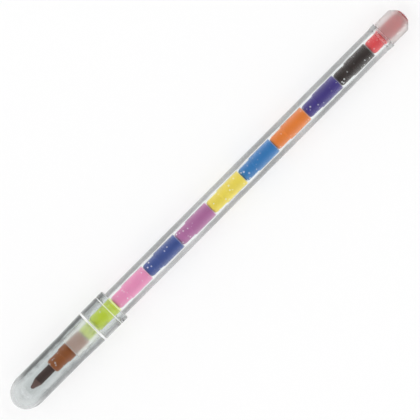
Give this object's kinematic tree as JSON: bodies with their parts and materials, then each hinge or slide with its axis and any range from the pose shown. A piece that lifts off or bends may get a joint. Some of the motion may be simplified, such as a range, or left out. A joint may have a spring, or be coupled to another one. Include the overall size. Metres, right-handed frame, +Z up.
{
  "type": "stackable crayon pen",
  "caption": "Clear pen barrel holding a row of coloured crayon points nested nose to tail, with a frosted nose, a clear domed cap and a frosted tail plug; the front point swaps to the rear.",
  "frame": {"origin": "on the pen's axis, halfway along the closed pen", "axes": "+X along the pen's axis towards the tail plug, so the writing end and cap point to -X; +Z up as the pen lies"},
  "size_m": [0.1528, 0.0102, 0.0102],
  "materials": {
    "clear_plastic": "clear, polished",
    "frosted_plastic": "frosted, translucent",
    "brown_plastic": "moulded, slightly translucent",
    "brown_wax": "waxy",
    "lime_plastic": "moulded, slightly translucent",
    "lime_wax": "waxy",
    "pink_plastic": "moulded, slightly translucent",
    "pink_wax": "waxy",
    "navy_plastic": "moulded, slightly translucent",
    "navy_wax": "waxy",
    "purple_plastic": "moulded, slightly translucent",
    "purple_wax": "waxy",
    "yellow_plastic": "moulded, slightly translucent",
    "yellow_wax": "waxy",
    "blue_plastic": "moulded, slightly translucent",
    "blue_wax": "waxy",
    "orange_plastic": "moulded, slightly translucent",
    "orange_wax": "waxy",
    "violet_plastic": "moulded, slightly translucent",
    "violet_wax": "waxy",
    "black_plastic": "moulded, slightly translucent",
    "black_wax": "waxy",
    "red_plastic": "moulded, slightly translucent",
    "red_wax": "waxy"
  },
  "bodies": {
    "barrel": {"barrel": "clear_plastic", "nose_collar": "frosted_plastic"},
    "cap": {"cap": "clear_plastic"},
    "tail_plug": {"tail_plug": "frosted_plastic"},
    "point_brown": {"holder_brown": "brown_plastic", "crayon_brown": "brown_wax"},
    "point_lime": {"holder_lime": "lime_plastic", "crayon_lime": "lime_wax"},
    "point_pink": {"holder_pink": "pink_plastic", "crayon_pink": "pink_wax"},
    "point_navy": {"holder_navy": "navy_plastic", "crayon_navy": "navy_wax"},
    "point_purple": {"holder_purple": "purple_plastic", "crayon_purple": "purple_wax"},
    "point_yellow": {"holder_yellow": "yellow_plastic", "crayon_yellow": "yellow_wax"},
    "point_blue": {"holder_blue": "blue_plastic", "crayon_blue": "blue_wax"},
    "point_orange": {"holder_orange": "orange_plastic", "crayon_orange": "orange_wax"},
    "point_violet": {"holder_violet": "violet_plastic", "crayon_violet": "violet_wax"},
    "point_black": {"holder_black": "black_plastic", "crayon_black": "black_wax"},
    "point_red": {"holder_red": "red_plastic", "crayon_red": "red_wax"}
  },
  "joints": [
    {"name": "stack_feed", "type": "slide", "parent": "barrel", "child": "point_lime", "axis": [-1, 0, 0], "range_m": [0, 0.01244]},
    {"name": "feed_pink", "type": "slide", "parent": "barrel", "child": "point_pink", "axis": [-1, 0, 0], "range_m": [0, 0.01244]},
    {"name": "feed_navy", "type": "slide", "parent": "barrel", "child": "point_navy", "axis": [-1, 0, 0], "range_m": [0, 0.01244]},
    {"name": "feed_purple", "type": "slide", "parent": "barrel", "child": "point_purple", "axis": [-1, 0, 0], "range_m": [0, 0.01244]},
    {"name": "feed_yellow", "type": "slide", "parent": "barrel", "child": "point_yellow", "axis": [-1, 0, 0], "range_m": [0, 0.01244]},
    {"name": "feed_blue", "type": "slide", "parent": "barrel", "child": "point_blue", "axis": [-1, 0, 0], "range_m": [0, 0.01244]},
    {"name": "feed_orange", "type": "slide", "parent": "barrel", "child": "point_orange", "axis": [-1, 0, 0], "range_m": [0, 0.01244]},
    {"name": "feed_violet", "type": "slide", "parent": "barrel", "child": "point_violet", "axis": [-1, 0, 0], "range_m": [0, 0.01244]},
    {"name": "feed_black", "type": "slide", "parent": "barrel", "child": "point_black", "axis": [-1, 0, 0], "range_m": [0, 0.01244]},
    {"name": "feed_red", "type": "slide", "parent": "barrel", "child": "point_red", "axis": [-1, 0, 0], "range_m": [0, 0.01244]},
    {"name": "front_point_pull", "type": "slide", "parent": "point_lime", "child": "point_brown", "axis": [-1, 0, 0], "range_m": [0, 0.015]},
    {"name": "cap_pull", "type": "slide", "parent": "point_brown", "child": "cap", "axis": [-1, 0, 0], "range_m": [0, 0.045]},
    {"name": "tail_plug_pull", "type": "slide", "parent": "barrel", "child": "tail_plug", "axis": [1, 0, 0], "range_m": [0, 0.015]}
  ],
  "couplings": [
    {"joint": "feed_pink", "follows": "stack_feed", "ratio": 1},
    {"joint": "feed_navy", "follows": "stack_feed", "ratio": 1},
    {"joint": "feed_purple", "follows": "stack_feed", "ratio": 1},
    {"joint": "feed_yellow", "follows": "stack_feed", "ratio": 1},
    {"joint": "feed_blue", "follows": "stack_feed", "ratio": 1},
    {"joint": "feed_orange", "follows": "stack_feed", "ratio": 1},
    {"joint": "feed_violet", "follows": "stack_feed", "ratio": 1},
    {"joint": "feed_black", "follows": "stack_feed", "ratio": 1},
    {"joint": "feed_red", "follows": "stack_feed", "ratio": 1}
  ]
}
